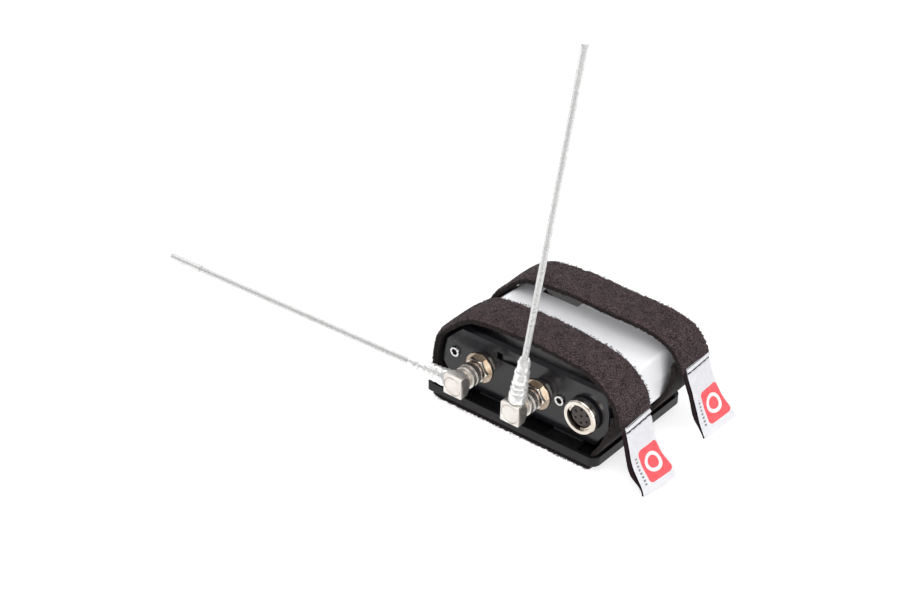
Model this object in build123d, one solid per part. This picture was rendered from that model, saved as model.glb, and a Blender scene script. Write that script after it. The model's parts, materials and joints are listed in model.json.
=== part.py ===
from build123d import *

import math
import os

# Pocket wireless receiver with two whip antennas, strapped into a mounting cradle.
# Millimetres, +Z up. The origin is on the axis of the cradle's threaded insert, at its
# mouth under the tray. The antenna panel faces -Y, and +X is to the right seen from there.

# Cradle tray
TRAY_LENGTH = 68.0
TRAY_DEPTH = 48.0
TRAY_UNDERSIDE = 1.7
TRAY_FLOOR = 3.7
TRAY_TOP = 5.8
TRAY_RIM = 1.2
TRAY_CORNER = 3.0
TRAY_LEFT_CORNER = 1.0
FOOT_LENGTH = 28.0
FOOT_DEPTH = 12.6
BOSS_RADIUS = 7.0
BOSS_TOP = 5.9
INSERT_RADIUS = 5.4
INSERT_LENGTH = 5.6
THREAD_RADIUS = 3.97  # bore of a 3/8 in - 16 thread
SEAT_SIZE = (12.5, 8.8)
SEAT_TOP = 5.2
SEAT_CENTRES_X = (-11.05, 18.95)
SEAT_FRONT = -22.3
PAD_SPANS = ((-17.9, -14.1), (14.1, 20.5))
SLOT_WIDTH = 2.7

# Straps
STRAP_WIDTH = 15.0
STRAP_THICKNESS = 1.5
FRONT_STRAP_Y = -22.2
REAR_STRAP_Y = 6.8
TAB_THICKNESS = 1.2
LABEL_THICKNESS = 0.5
LABEL_WIDTH = 13.4

# Receiver housing: outline of its section, across and up, about the receiver's middle
RECEIVER_X = 1.7
PANEL_Y = -19.5
HOUSING_BOTTOM = 6.4
HOUSING_TOP = 29.6
OUTLINE = [
    (-25.2, HOUSING_TOP),
    (-32.2, 22.8),
    (-34.2, 13.9),
    (-28.8, HOUSING_BOTTOM),
    (28.8, HOUSING_BOTTOM),
    (34.7, 14.5),
    (34.7, 21.7),
    (33.0, HOUSING_TOP),
]
CORNER_ROUNDING = 1.3
FRONT_CAP_LENGTH = 10.0
SLEEVE_LENGTH = 35.5
REAR_CAP_LENGTH = 4.0
PANEL_THICKNESS = 2.2
CAP_WALL = 1.8
SLEEVE_WALL = 1.5
CAP_BEVEL = 1.15
SLEEVE_FRONT = PANEL_Y + FRONT_CAP_LENGTH
SLEEVE_BACK = SLEEVE_FRONT + SLEEVE_LENGTH
REAR_FACE = SLEEVE_BACK + REAR_CAP_LENGTH
PANEL_BACK = PANEL_Y + PANEL_THICKNESS
REAR_PLATE_FRONT = REAR_FACE - 2.0

# Places on the antenna panel
ROW_Z = 17.7
SOCKET_Z = 16.8
LEFT_SOCKET_X = RECEIVER_X - 17.4
RIGHT_SOCKET_X = RECEIVER_X + 5.6
AUDIO_X = RECEIVER_X + 24.3
SCREW_PLACES = [(RECEIVER_X - 27.4, 18.8), (RECEIVER_X + 14.8, 18.7)]
SWITCH_SLOT = (RECEIVER_X - 10.6, RECEIVER_X + 2.0, 23.3, 25.9)
SWITCH_TRAVEL = 1.7
SCOOP_RADIUS = 13.0

# Screws and pillars
SCREW_HEAD_RADIUS = 1.75
SCREW_HEAD_HEIGHT = 1.9
SCREW_HEAD_PROUD = 0.8
SCREW_HEX = 2.0
SCREW_SHANK_RADIUS = 0.98
SCREW_LENGTH = 6.0
PILLAR_RADIUS = 2.2

# Antenna socket and plug, 1/4 in - 36 thread
THREAD_OUTER = 3.175
BARREL_PROUD = 6.9
SOCKET_BORE = 2.4
CONTACT_RADIUS = 0.75
PIN_BORE = 0.5
PIN_RADIUS = 0.46
HEX_ACROSS_FLATS = 8.0
NUT_THICKNESS = 2.1
WASHER_THICKNESS = 0.5
WASHER_RADIUS = 5.4

# Whip antenna, measured from the middle of its elbow block
BLOCK_SIZE = 7.2
BLOCK_DEPTH = 6.0
BLOCK_BACK = PANEL_Y - 8.2
BLOCK_MIDDLE = BLOCK_BACK - BLOCK_DEPTH / 2
WAIST_RADIUS = 3.05
NECK_RADIUS = 2.75
NOSE_RADIUS = 2.3
NUT_RADIUS = 3.9
WHIP_LENGTH = 132.4
WIRE_RADIUS = 0.8
SLEEVE_INNER = 0.85
SLEEVE_OUTER = 1.1
TIP_LENGTH = 15.0
TIP_RADIUS = 1.3
BOOT_END = 20.5
FERRULE_RADIUS = 1.9
FERRULE_END = 5.2
# Radius and height of the boot's outside, going up
BOOT_RIDGES = [
    (2.8, 7.0),
    (2.55, 7.5),
    (2.75, 8.6),
    (2.5, 9.2),
    (2.65, 10.3),
    (2.42, 10.9),
    (2.55, 12.0),
    (2.4, 15.6),
    (2.15, 16.0),
    (2.1, 19.4),
    (1.5, BOOT_END),
]

# Whip directions at rest: turn about +Y from straight up, and the lean towards the rear
LEFT_TURN = -93.1
LEFT_LEAN = 1.5
RIGHT_TURN = 7.2
RIGHT_LEAN = 2.6

# Audio connector, seven contacts
RING_RADIUS = 6.15
RING_BORE = 4.6
RING_PROUD = 3.0
CONNECTOR_BODY_RADIUS = 5.2
CONNECTOR_INSERT_RADIUS = 3.9
CONTACT_CIRCLE = 2.5
AUDIO_CONTACT_RADIUS = 0.45
GASKET_THICKNESS = 1.4
LOCKING_LOBES = [(-55, 34), (150, 20)]  # middle and half spread, degrees

# Electronics
BOARD_BOTTOM = 13.2
BOARD_TOP = 14.4
WINDOW = (RECEIVER_X - 18.0, RECEIVER_X - 3.1, 13.1, 24.0)
BUTTON_CENTRES_X = (-8.0, 0.5)
BUTTON_RADIUS = 2.2


def box(x0, x1, y0, y1, z0, z1):
    """A block between two opposite corners."""
    middle = Pos((x0 + x1) / 2, (y0 + y1) / 2, (z0 + z1) / 2)
    return middle * Box(x1 - x0, y1 - y0, z1 - z0)


def rod(x, z, y0, y1, radius):
    """A cylinder along Y."""
    return Pos(x, (y0 + y1) / 2, z) * Rot(90, 0, 0) * Cylinder(radius, y1 - y0)


def tube(x, z, y0, y1, outer, inner):
    """A ring along Y."""
    return rod(x, z, y0, y1, outer) - rod(x, z, y0, y1, inner)


def post(z0, z1, radius):
    """A cylinder on the Z axis."""
    return Pos(0, 0, (z0 + z1) / 2) * Cylinder(radius, z1 - z0)


def hexagon_rod(x, z, y0, y1, across_flats):
    """A hexagonal bar along Y, with a flat on top."""
    across_corners = across_flats / math.cos(math.radians(30))
    face = RegularPolygon(across_corners / 2, 6)
    return extrude(Plane.XZ.offset(-y0) * Pos(x, z) * face, amount=y0 - y1)


def housing_slab(inset, y0, y1):
    """The housing's section, drawn in by an inset, between two depths."""
    points = [(RECEIVER_X + x, z) for x, z in OUTLINE]
    face = make_face(Polyline(*points, close=True))
    if inset:
        face = offset(face, -inset, kind=Kind.INTERSECTION)
    slab = extrude(Plane.XZ.offset(-y0) * face, amount=y0 - y1)
    corners = slab.edges().filter_by(Axis.Y)
    return fillet(corners, max(CORNER_ROUNDING - inset / 3, 0.3))


def band(points, thickness, y0, width):
    """A strip of webbing: a path in the XZ plane given thickness, as wide as it is deep in Y."""
    half = thickness / 2
    one_side = side_line(points, half)
    other_side = side_line(points, -half)
    ends = [Line(one_side @ i, other_side @ i) for i in (0, 1)]
    face = make_face([one_side, other_side] + ends)
    return extrude(Plane.XZ.offset(-y0) * face, amount=-width)


def side_line(points, distance):
    """The path's line moved sideways, with its bends still concentric with the path's."""
    radii = []
    for i in range(1, len(points) - 1):
        before = Vector(*points[i]) - Vector(*points[i - 1])
        after = Vector(*points[i + 1]) - Vector(*points[i])
        turn_left = before.X * after.Y - before.Y * after.X > 0
        radii.append(bend_radius(points, i) - (distance if turn_left else -distance))
    return FilletPolyline(*shifted(points, distance), radius=radii)


def shifted(points, distance):
    """The points moved to the left of the path, so that its runs move by the distance."""
    normals = []
    for start, end in zip(points, points[1:]):
        along = (Vector(*end) - Vector(*start)).normalized()
        normals.append(Vector(-along.Y, along.X))
    moved = []
    for i, point in enumerate(points):
        first = normals[max(i - 1, 0)]
        second = normals[min(i, len(normals) - 1)]
        shift = (first + second) * (distance / (1 + first.dot(second)))
        moved.append((point[0] + shift.X, point[1] + shift.Y))
    return moved


def bend_radius(points, i):
    """The largest easy bend at a corner: a share of its shorter run, never under 0.9 mm."""
    before = Vector(*points[i]) - Vector(*points[i - 1])
    after = Vector(*points[i + 1]) - Vector(*points[i])
    turn = math.radians(before.get_angle(after))
    shorter = min(before.length, after.length)
    return min(max(0.42 * shorter / math.tan(turn / 2), 0.9), 60.0)


# Cradle


def tray_outline(inset):
    """The tray's outline, nearly square at its left corners and round at its right ones."""
    outline = Rectangle(TRAY_LENGTH - 2 * inset, TRAY_DEPTH - 2 * inset)
    left = outline.vertices().group_by(Axis.X)[0]
    outline = fillet(left, TRAY_LEFT_CORNER)
    right = outline.vertices().group_by(Axis.X)[-1]
    return fillet(right, TRAY_CORNER - inset)


def tray():
    outer = extrude(
        Pos(0, 0, TRAY_UNDERSIDE) * tray_outline(0),
        amount=TRAY_TOP - TRAY_UNDERSIDE,
    )
    outer = chamfer(outer.faces().sort_by(Axis.Z)[0].edges(), 0.9)
    hollow = extrude(Pos(0, 0, TRAY_FLOOR) * tray_outline(TRAY_RIM), amount=TRAY_TOP)
    body = outer - hollow
    foot = extrude(RectangleRounded(FOOT_LENGTH, FOOT_DEPTH, 3.0), amount=TRAY_FLOOR)
    body = body + foot + post(TRAY_UNDERSIDE, BOSS_TOP, BOSS_RADIUS)
    for x in SEAT_CENTRES_X:
        for y in seat_starts():
            half = SEAT_SIZE[0] / 2
            body += box(x - half, x + half, y, y + SEAT_SIZE[1], TRAY_UNDERSIDE + 1, SEAT_TOP)
    inner_x = TRAY_LENGTH / 2 - TRAY_RIM
    inner_y = TRAY_DEPTH / 2 - TRAY_RIM
    slot_spans = [
        (-inner_y, FRONT_STRAP_Y + STRAP_WIDTH + 0.3),
        (REAR_STRAP_Y - 0.3, inner_y),
    ]
    for y0, y1 in slot_spans:
        body -= box(-inner_x, SLOT_WIDTH - inner_x, y0, y1, 0, TRAY_TOP)
        body -= box(inner_x - 0.3 - SLOT_WIDTH, inner_x - 0.3, y0, y1, 0, TRAY_TOP)
    return body - post(-1, INSERT_LENGTH, INSERT_RADIUS) - post(-1, TRAY_TOP + 1, THREAD_RADIUS)


def seat_starts():
    """Front edges of the front and rear rows of seats."""
    return (SEAT_FRONT, -SEAT_FRONT - SEAT_SIZE[1])


def thread_insert():
    body = post(0, INSERT_LENGTH, INSERT_RADIUS) - post(-1, INSERT_LENGTH + 1, THREAD_RADIUS)
    groove_middle = INSERT_LENGTH / 2
    groove = post(groove_middle - 0.4, groove_middle + 0.4, INSERT_RADIUS)
    return body - (groove - post(0, INSERT_LENGTH, INSERT_RADIUS - 0.4))


def seat_pads():
    pads = []
    half = SEAT_SIZE[0] / 2 - 0.6
    for x in SEAT_CENTRES_X:
        for y0, y1 in PAD_SPANS:
            pads.append(box(x - half, x + half, y0, y1, SEAT_TOP, HOUSING_BOTTOM))
    return Compound(children=pads)


# Straps: each is one strip that starts against the receiver's right side, goes down through
# the right slot, under the tray, up through the left slot, over the top, and ends outside
# its own start. A short pull tab with a woven label carries on from there.

LOOP_START = {
    "front": [(39.5, 23.2), (39.6, 19.6), (37.6, 14.2)],
    "rear": [(40.8, 29.0), (40.9, 22.4), (38.5, 15.4)],
}
LOOP_SIDES = [
    (31.7, 6.1),
    (31.3, 4.6),
    (31.3, 0.75),
    (-31.6, 0.75),
    (-31.6, 5.5),
    (-33.6, 9.2),
    (-34.0, 14.2),
    (-32.3, 24.0),
    (-24.3, 31.8),
    (-18.8, 35.9),
    (-9.9, 37.5),
]
LOOP_END = {
    "front": [
        (2.7, 37.85),
        (17.3, 37.4),
        (28.4, 36.0),
        (34.7, 33.4),
        (38.9, 29.6),
        (41.4, 25.3),
        (41.8, 20.6),
    ],
    "rear": [
        (2.7, 37.85),
        (17.3, 37.6),
        (28.7, 37.15),
        (35.9, 35.9),
        (40.6, 33.2),
        (43.0, 29.4),
        (44.0, 26.9),
    ],
}
TAB_PATH = {
    "front": [(42.9, 19.9), (44.7, 14.9), (46.6, 10.1), (49.1, 5.3), (51.3, 1.2)],
    "rear": [(44.3, 26.1), (45.7, 21.2), (47.9, 16.2), (50.7, 11.5), (53.3, 6.7)],
}
STRAP_START_Y = {"front": FRONT_STRAP_Y, "rear": REAR_STRAP_Y}


def strap(which):
    points = LOOP_START[which] + LOOP_SIDES + LOOP_END[which]
    return band(points, STRAP_THICKNESS, STRAP_START_Y[which], STRAP_WIDTH)


def pull_tab(which):
    return band(TAB_PATH[which], TAB_THICKNESS, STRAP_START_Y[which], STRAP_WIDTH)


def label(which):
    gap = (TAB_THICKNESS + LABEL_THICKNESS) / 2 + 0.02
    start = STRAP_START_Y[which] + STRAP_WIDTH - LABEL_WIDTH
    return band(shifted(TAB_PATH[which], gap), LABEL_THICKNESS, start, LABEL_WIDTH)


# Receiver housing


def housing_sleeve():
    body = housing_slab(0, SLEEVE_FRONT, SLEEVE_BACK)
    body -= housing_slab(SLEEVE_WALL, SLEEVE_FRONT - 1, SLEEVE_BACK + 1)
    for z0 in (BOARD_BOTTOM - 0.85, BOARD_TOP + 0.05):
        for x0, x1 in ((-33.0, -29.0), (32.6, 36.0)):
            rib = box(x0, x1, SLEEVE_FRONT, SLEEVE_BACK, z0, z0 + 0.8)
            body += rib & housing_slab(SLEEVE_WALL - 0.3, SLEEVE_FRONT, SLEEVE_BACK)
    x0, x1, y0, y1 = WINDOW
    return body - box(x0, x1, y0, y1, HOUSING_TOP - 3, HOUSING_TOP + 1)


def front_end_cap():
    body = housing_slab(0, PANEL_Y, SLEEVE_FRONT)
    body = chamfer(body.faces().sort_by(Axis.Y)[0].edges(), CAP_BEVEL)
    body -= housing_slab(CAP_WALL, PANEL_BACK, SLEEVE_FRONT + 1)
    for x in (LEFT_SOCKET_X, RIGHT_SOCKET_X):
        body -= rod(x, SOCKET_Z, PANEL_Y - 1, PANEL_BACK + 1, THREAD_OUTER + 0.05)
    body -= rod(AUDIO_X, ROW_Z, PANEL_Y - 1, PANEL_BACK + 1, CONNECTOR_BODY_RADIUS + 0.1)
    for x, z in SCREW_PLACES:
        body -= rod(x, z, PANEL_Y - 1, PANEL_BACK + 1, SCREW_SHANK_RADIUS + 0.15)
        sink = PANEL_Y + SCREW_HEAD_HEIGHT - SCREW_HEAD_PROUD
        body -= rod(x, z, PANEL_Y - 1, sink, SCREW_HEAD_RADIUS + 0.1)
    x0, x1, z0, z1 = SWITCH_SLOT
    return body - box(x0, x1, PANEL_Y - 1, PANEL_BACK + 1, z0, z1)


def rear_end_cap():
    body = housing_slab(0, SLEEVE_BACK, REAR_FACE)
    body = chamfer(body.faces().sort_by(Axis.Y)[-1].edges(), CAP_BEVEL)
    body -= housing_slab(CAP_WALL, SLEEVE_BACK - 1, REAR_PLATE_FRONT)
    for x, z in SCREW_PLACES:
        body -= rod(x, z, REAR_PLATE_FRONT - 1, REAR_FACE + 1, SCREW_SHANK_RADIUS + 0.15)
        sink = REAR_FACE - SCREW_HEAD_HEIGHT + SCREW_HEAD_PROUD
        body -= rod(x, z, sink, REAR_FACE + 1, SCREW_HEAD_RADIUS + 0.1)
    for x in BUTTON_CENTRES_X:
        body -= rod(x, ROW_Z, REAR_PLATE_FRONT - 1, REAR_FACE + 1, BUTTON_RADIUS + 0.1)
    return body


def screw(x, z, face_y, outward):
    """A socket-head screw whose head stands out of a face towards outward, which is -1 or 1."""
    top = face_y + outward * SCREW_HEAD_PROUD
    under = top - outward * SCREW_HEAD_HEIGHT
    tip = under - outward * SCREW_LENGTH
    body = rod(x, z, min(top, under), max(top, under), SCREW_HEAD_RADIUS)
    body += rod(x, z, min(under, tip), max(under, tip), SCREW_SHANK_RADIUS)
    bottom = top - outward * 1.0
    return body - hexagon_rod(x, z, min(top, bottom), max(top, bottom), SCREW_HEX)


def screws(face_y, outward):
    return Compound(children=[screw(x, z, face_y, outward) for x, z in SCREW_PLACES])


def tie_pillars():
    pillars = []
    for x, z in SCREW_PLACES:
        pillar = hexagon_rod(x, z, PANEL_BACK, REAR_PLATE_FRONT, 2 * PILLAR_RADIUS)
        bore = SCREW_SHANK_RADIUS + 0.02
        pillar -= rod(x, z, PANEL_BACK - 1, PANEL_BACK + SCREW_LENGTH, bore)
        pillar -= rod(x, z, REAR_PLATE_FRONT - SCREW_LENGTH, REAR_PLATE_FRONT + 1, bore)
        pillars.append(pillar)
    return Compound(children=pillars)


# Electronics


def main_board():
    x0 = RECEIVER_X - 31.0
    x1 = RECEIVER_X + 31.0
    y0 = PANEL_Y + 4.5
    y1 = SLEEVE_BACK + 1.2
    board = box(x0, x1, y0, y1, BOARD_BOTTOM, BOARD_TOP)
    return fillet(board.edges().filter_by(Axis.Z), 1.0)


def shield_can(x0, x1, y0, y1, height):
    """A folded metal can, open underneath."""
    can = box(x0, x1, y0, y1, BOARD_TOP, BOARD_TOP + height)
    can = fillet(can.edges().filter_by(Axis.Z), 0.8)
    wall = 0.4
    roof = BOARD_TOP + height - wall
    return can - box(x0 + wall, x1 - wall, y0 + wall, y1 - wall, BOARD_TOP - 1, roof)


def processor_chip():
    chip = box(21.5, 31.5, -3.0, 7.0, BOARD_TOP, BOARD_TOP + 1.2)
    return chamfer(chip.faces().sort_by(Axis.Z)[-1].edges(), 0.2)


def display_window():
    x0, x1, y0, y1 = WINDOW
    under = HOUSING_TOP - SLEEVE_WALL
    flange = box(x0 - 1.2, x1 + 1.2, y0 - 1.2, y1 + 1.2, under - 1.2, under - 0.05)
    pane = box(x0 + 0.1, x1 - 0.1, y0 + 0.1, y1 - 0.1, under - 1.2, HOUSING_TOP - 0.6)
    return flange + pane


def display_module():
    x0, x1, y0, y1 = WINDOW
    top = HOUSING_TOP - SLEEVE_WALL - 1.2
    return box(x0 + 0.8, x1 - 0.8, y0 + 0.5, y1 - 0.5, top - 3.0, top)


def menu_button(x):
    cap = rod(x, ROW_Z, REAR_PLATE_FRONT - 0.1, REAR_FACE + 0.7, BUTTON_RADIUS)
    cap = fillet(cap.faces().sort_by(Axis.Y)[-1].edges(), 0.4)
    return cap + rod(x, ROW_Z, REAR_PLATE_FRONT - 1.1, REAR_PLATE_FRONT - 0.1, BUTTON_RADIUS + 0.6)


def button_switches():
    switches = []
    for x in BUTTON_CENTRES_X:
        block = box(x - 2.6, x + 2.6, 22.4, 25.5, BOARD_TOP, ROW_Z + 2.6)
        switches.append(block + rod(x, ROW_Z, 25.5, 26.2, 0.9))
    return Compound(children=switches)


def slide_switch_frame():
    x0, x1, z0, z1 = SWITCH_SLOT
    wall = 0.8
    back = PANEL_BACK + 3.6
    body = box(x0 - 1.4, x1 + 1.4, PANEL_BACK, back, z0 - 1.1, z1 + 1.1)
    return body - box(x0 - 0.2, x1 + 0.2, PANEL_BACK - 1, back - wall, z0 - 0.2, z1 + 0.2)


def slide_switch_knob():
    x0, x1, z0, z1 = SWITCH_SLOT
    gap = 0.1
    front = PANEL_Y + 0.6
    knob = box(x0 + SWITCH_TRAVEL + 0.1, x1 - gap, front, PANEL_BACK + 2.4, z0 + gap, z1 - gap)
    scoop = Pos(x0 + SWITCH_TRAVEL + 4.7, front + 0.5 - SCOOP_RADIUS, 0) * post(z0 - 1, z1 + 1, SCOOP_RADIUS)
    return knob - scoop


# Audio connector


def audio_socket_shell():
    front = PANEL_Y - RING_PROUD
    shoulder = PANEL_Y - GASKET_THICKNESS
    shell = rod(AUDIO_X, ROW_Z, front, shoulder, RING_RADIUS)
    shell = chamfer(shell.faces().sort_by(Axis.Y)[0].edges(), 0.45)
    shell += rod(AUDIO_X, ROW_Z, shoulder, PANEL_BACK + 2.0, CONNECTOR_BODY_RADIUS)
    shell -= rod(AUDIO_X, ROW_Z, front - 1, PANEL_BACK + 0.6, RING_BORE)
    shell -= rod(AUDIO_X, ROW_Z, front - 1, PANEL_BACK + 3, CONNECTOR_INSERT_RADIUS - 0.6)
    for angle, spread in LOCKING_LOBES:
        shell += locking_lobe(angle, spread)
    return shell


def locking_lobe(angle, spread):
    """A metal lobe in the ring around the insert, centred on an angle in degrees."""
    front = PANEL_Y - RING_PROUD
    lobe = rod(AUDIO_X, ROW_Z, front + 0.9, PANEL_Y + 0.6, RING_BORE + 0.2)
    lobe -= rod(AUDIO_X, ROW_Z, front, PANEL_BACK, CONNECTOR_INSERT_RADIUS + 0.03)
    reach = RING_RADIUS * 1.5
    corners = [(0, 0)]
    for side in (angle - spread, angle + spread):
        turn = math.radians(side)
        corners.append((reach * math.cos(turn), reach * math.sin(turn)))
    sector = Pos(AUDIO_X, ROW_Z) * make_face(Polyline(*corners, close=True))
    return lobe & extrude(Plane.XZ.offset(-front) * sector, amount=-8)


def contact_places():
    """Centres of the seven contacts: six in a ring and one in the middle."""
    ring = []
    for i in range(6):
        angle = math.radians(60 * i + 30)
        x = AUDIO_X + CONTACT_CIRCLE * math.cos(angle)
        z = ROW_Z + CONTACT_CIRCLE * math.sin(angle)
        ring.append((x, z))
    return ring + [(AUDIO_X, ROW_Z)]


def audio_socket_insert():
    front = PANEL_Y - RING_PROUD + 1.3
    step = PANEL_BACK + 0.6
    insert = rod(AUDIO_X, ROW_Z, front, step, CONNECTOR_INSERT_RADIUS)
    insert = chamfer(insert.faces().sort_by(Axis.Y)[0].edges(), 0.25)
    insert += rod(AUDIO_X, ROW_Z, step, PANEL_BACK + 2.0, CONNECTOR_INSERT_RADIUS - 0.65)
    for x, z in contact_places():
        insert -= rod(x, z, front - 1, PANEL_BACK + 3, AUDIO_CONTACT_RADIUS + 0.01)
    return insert


def audio_socket_contacts():
    contacts = []
    front = PANEL_Y - RING_PROUD + 2.0
    for x, z in contact_places():
        contact = rod(x, z, front, PANEL_BACK + 5.5, AUDIO_CONTACT_RADIUS)
        contacts.append(contact - rod(x, z, front - 1, front + 3.5, 0.3))
    return Compound(children=contacts)


def audio_socket_gasket():
    outer = RING_RADIUS - 0.25
    inner = CONNECTOR_BODY_RADIUS + 0.02
    gasket = tube(AUDIO_X, ROW_Z, PANEL_Y - GASKET_THICKNESS, PANEL_Y, outer, inner)
    middle = PANEL_Y - GASKET_THICKNESS / 2
    return gasket - tube(AUDIO_X, ROW_Z, middle - 0.15, middle + 0.15, outer + 1, outer - 0.25)


def audio_socket_nut():
    nut = hexagon_rod(AUDIO_X, ROW_Z, PANEL_BACK, PANEL_BACK + 1.8, 11.8)
    bore = CONNECTOR_BODY_RADIUS + 0.02
    return nut - rod(AUDIO_X, ROW_Z, PANEL_BACK - 1, PANEL_BACK + 3, bore)


# Antenna sockets


def socket_body(x):
    front = PANEL_Y - BARREL_PROUD
    barrel = rod(x, SOCKET_Z, front, PANEL_BACK + 0.8, THREAD_OUTER)
    barrel = chamfer(barrel.faces().sort_by(Axis.Y)[0].edges(), 0.3)
    barrel += rod(x, SOCKET_Z, PANEL_BACK, PANEL_BACK + 1.4, 4.3)
    return barrel - rod(x, SOCKET_Z, front - 1, PANEL_BACK + 3, SOCKET_BORE)


def socket_insulator(x):
    return tube(x, SOCKET_Z, PANEL_Y - 6.0, PANEL_BACK + 1.4, SOCKET_BORE, CONTACT_RADIUS)


def socket_contact(x):
    front = PANEL_Y - 5.8
    back = PANEL_BACK + 4.2
    contact = rod(x, SOCKET_Z, front, back, CONTACT_RADIUS)
    contact -= rod(x, SOCKET_Z, front - 1, front + 2.8, PIN_BORE)
    tail = box(x - 0.4, x + 0.4, back - 1.0, back - 0.2, BOARD_TOP, SOCKET_Z)
    return contact + tail


def socket_washer(x):
    return tube(x, SOCKET_Z, PANEL_Y - WASHER_THICKNESS, PANEL_Y, WASHER_RADIUS, THREAD_OUTER + 0.03)


def socket_nut(x):
    back = PANEL_Y - WASHER_THICKNESS
    front = back - NUT_THICKNESS
    nut = hexagon_rod(x, SOCKET_Z, front, back, HEX_ACROSS_FLATS)
    crown = rod(x, SOCKET_Z, front, back, HEX_ACROSS_FLATS / 2 + 0.62)
    crown = chamfer(crown.faces().sort_by(Axis.Y)[0].edges(), 0.5)
    return (nut & crown) - rod(x, SOCKET_Z, front - 1, back + 1, THREAD_OUTER + 0.03)


# Whip antennas are drawn with the whip straight up and the elbow on the Y axis, and are
# then turned about that axis and moved to their socket.


def placed(shape, x, turn):
    return Pos(x, 0, SOCKET_Z) * Rot(0, turn, 0) * shape


def leaning(shape, lean):
    """A shape drawn up the Z axis from the block's middle, leant towards the rear."""
    return Pos(0, BLOCK_MIDDLE, 0) * Rot(-lean, 0, 0) * shape


def elbow_body(lean):
    half = BLOCK_SIZE / 2
    front = BLOCK_BACK - BLOCK_DEPTH
    block = box(-half, half, front, BLOCK_BACK, -half, half)
    cone = [(5.2, front + 3.0), (WAIST_RADIUS, front + 5.15), (WAIST_RADIUS, BLOCK_BACK)]
    turned = make_face(Polyline((0, front), (5.2, front), *cone, (0, BLOCK_BACK), close=True))
    block = block & revolve(turned, axis=Axis.Y)
    block = chamfer(block.faces().sort_by(Axis.Y)[0].edges(), 0.25)
    barrel_front = PANEL_Y - BARREL_PROUD
    block += rod(0, 0, BLOCK_BACK, barrel_front - 0.2, NECK_RADIUS)
    block += rod(0, 0, barrel_front - 0.2, barrel_front + 0.8, NOSE_RADIUS)
    block -= rod(0, 0, BLOCK_MIDDLE, barrel_front + 3, 2.0)
    block -= rod(0, 0, front - 1, front + 0.5, 3.3)
    block += leaning(post(2.6, FERRULE_END, FERRULE_RADIUS), lean)
    return block - leaning(post(0, FERRULE_END + 1, WIRE_RADIUS + 0.02), lean)


def elbow_cap():
    front = BLOCK_BACK - BLOCK_DEPTH
    cap = rod(0, 0, front + 0.05, front + 0.5, 3.22)
    return chamfer(cap.faces().sort_by(Axis.Y)[0].edges(), 0.12)


def elbow_insulator():
    return tube(0, 0, BLOCK_MIDDLE + 0.9, PANEL_Y - BARREL_PROUD + 0.8, 2.0, PIN_RADIUS)


def elbow_pin():
    return rod(0, 0, BLOCK_MIDDLE + 0.9, PANEL_Y - 3.4, PIN_RADIUS)


def coupling_nut():
    back = PANEL_Y - BARREL_PROUD - 1.1
    front = PANEL_Y - 3.5
    nut = rod(0, 0, back, front, NUT_RADIUS)
    nut = chamfer(nut.faces().sort_by(Axis.Y)[0].edges(), 0.3)
    nut = chamfer(nut.faces().sort_by(Axis.Y)[-1].edges(), 0.3)
    groove = tube(0, 0, back + 1.5, back + 1.8, NUT_RADIUS + 1, NUT_RADIUS - 0.3)
    nut -= groove
    nut -= rod(0, 0, back - 1, front + 1, NECK_RADIUS + 0.05)
    return nut - rod(0, 0, PANEL_Y - BARREL_PROUD - 0.15, front + 1, THREAD_OUTER + 0.05)


def boot():
    """A ridged sleeve over the ferrule and the foot of the whip."""
    base = BLOCK_SIZE / 2 + 0.15
    shoulder = FERRULE_END + 0.1
    wide_bore = FERRULE_RADIUS + 0.03
    narrow_bore = SLEEVE_OUTER + 0.02
    inside = [(narrow_bore, BOOT_END), (narrow_bore, shoulder), (wide_bore, shoulder), (wide_bore, base)]
    section = make_face(Polyline(*inside, (2.8, base), *BOOT_RIDGES, close=True))
    return revolve(Plane.XZ * section, axis=Axis.Z)


def whip_wire():
    return post(BLOCK_SIZE / 4, WHIP_LENGTH - 0.9, WIRE_RADIUS)


def whip_sleeve():
    start = FERRULE_END + 0.15
    end = WHIP_LENGTH - 0.7
    return post(start, end, SLEEVE_OUTER) - post(start - 1, end + 1, SLEEVE_INNER)


def tip_sleeve():
    tip = post(WHIP_LENGTH - TIP_LENGTH, WHIP_LENGTH, TIP_RADIUS)
    tip = fillet(tip.faces().sort_by(Axis.Z)[-1].edges(), 0.5)
    tip = chamfer(tip.faces().sort_by(Axis.Z)[0].edges(), 0.12)
    return tip - post(WHIP_LENGTH - TIP_LENGTH - 1, WHIP_LENGTH - 0.65, SLEEVE_OUTER + 0.02)


def antenna(side, x, turn, lean):
    """All the pieces of one whip antenna."""
    pieces = {
        "elbow_body": elbow_body(lean),
        "elbow_cap": elbow_cap(),
        "elbow_insulator": elbow_insulator(),
        "elbow_pin": elbow_pin(),
        "coupling_nut": coupling_nut(),
        "boot": leaning(boot(), lean),
        "whip_wire": leaning(whip_wire(), lean),
        "whip_sleeve": leaning(whip_sleeve(), lean),
        "tip_sleeve": leaning(tip_sleeve(), lean),
    }
    return {f"{side}_{name}": placed(shape, x, turn) for name, shape in pieces.items()}


def antenna_socket(side, x):
    """All the pieces of one panel socket."""
    return {
        f"{side}_socket_body": socket_body(x),
        f"{side}_socket_insulator": socket_insulator(x),
        f"{side}_socket_contact": socket_contact(x),
        f"{side}_socket_washer": socket_washer(x),
        f"{side}_socket_nut": socket_nut(x),
    }


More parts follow.
